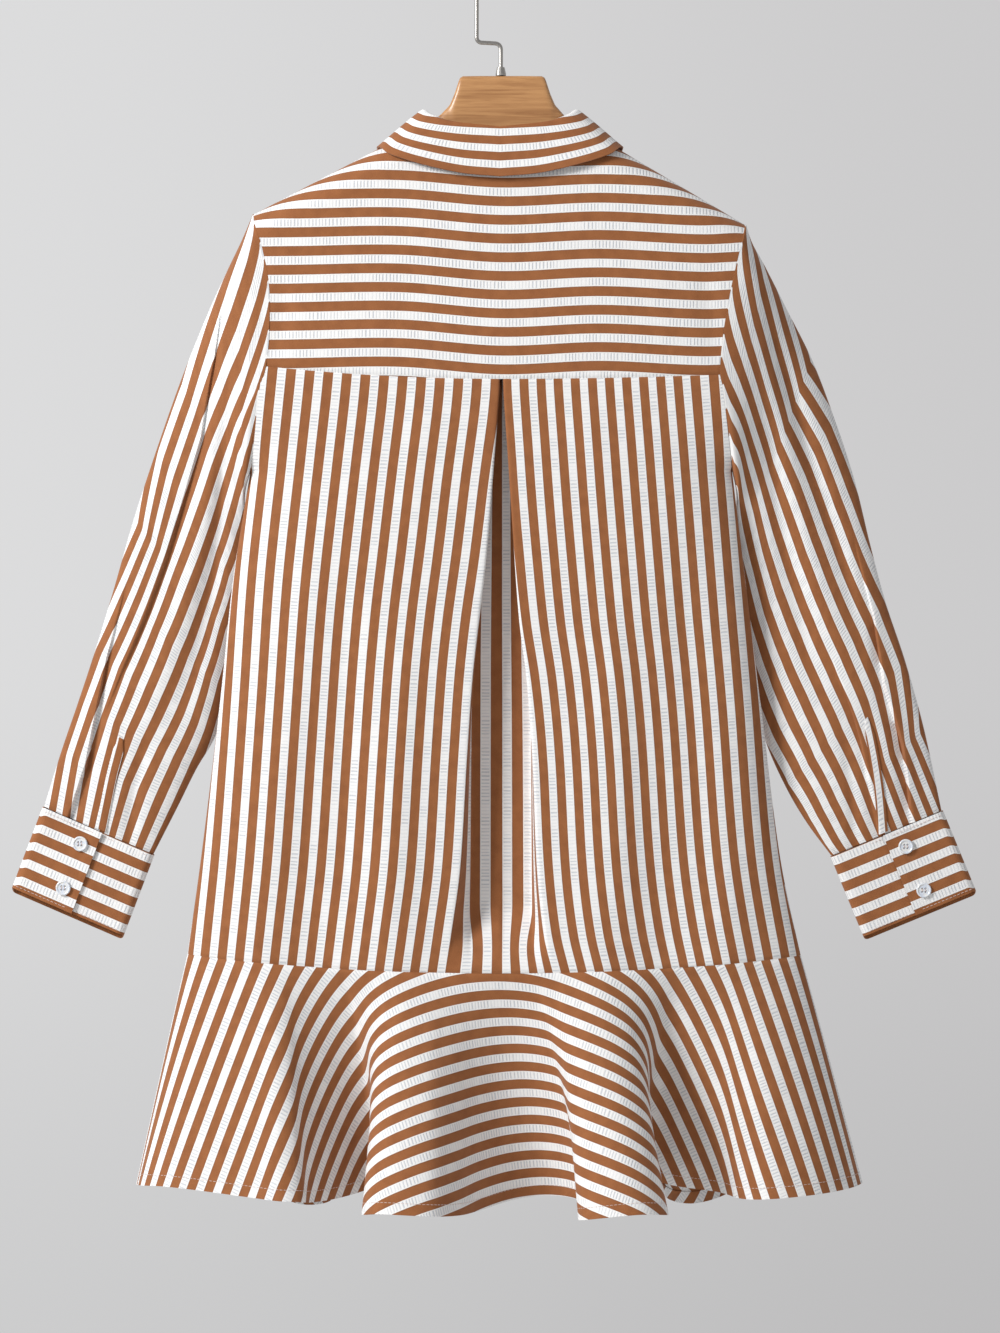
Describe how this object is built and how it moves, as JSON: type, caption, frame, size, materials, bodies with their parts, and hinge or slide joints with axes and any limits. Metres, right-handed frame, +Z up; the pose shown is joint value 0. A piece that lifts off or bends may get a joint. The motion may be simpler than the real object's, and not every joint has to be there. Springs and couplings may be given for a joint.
{
  "type": "shirt dress on a hanger",
  "caption": "Striped button-front shirt dress with pointed collar, back yoke, box pleat and flounce hem, hung on a wooden hanger with a wire hook.",
  "frame": {"origin": "inner top of the hanger's hook, where it rests on the rail", "axes": "+Z up, -Y out of the dress's back, +X towards the wearer's right"},
  "size_m": [0.808, 0.2193, 1.0386],
  "materials": {
    "striped_cloth": "brown and white striped seersucker",
    "button_shell": "pale glossy",
    "hanger_wood": "satin varnish",
    "hook_metal": "polished"
  },
  "bodies": {
    "root": {"hanger_wood": "hanger_wood", "hanger_hook": "hook_metal", "hanger_ferrule": "hook_metal", "collar_fall": "striped_cloth", "collar_stand": "striped_cloth", "back_yoke": "striped_cloth", "back_panel": "striped_cloth", "front_left": "striped_cloth", "front_right": "striped_cloth", "front_placket": "striped_cloth", "sleeve_left": "striped_cloth", "sleeve_right": "striped_cloth", "sleeve_placket_left": "striped_cloth", "sleeve_placket_right": "striped_cloth", "cuff_left": "striped_cloth", "cuff_right": "striped_cloth", "flounce_back": "striped_cloth", "flounce_front": "striped_cloth", "button_front_1": "button_shell", "button_front_2": "button_shell", "button_front_3": "button_shell", "button_front_4": "button_shell", "button_front_5": "button_shell", "button_front_6": "button_shell", "button_front_7": "button_shell", "button_stand": "button_shell", "button_cuff_left_1": "button_shell", "button_cuff_left_2": "button_shell", "button_cuff_right_1": "button_shell", "button_cuff_right_2": "button_shell"}
  },
  "joints": []
}
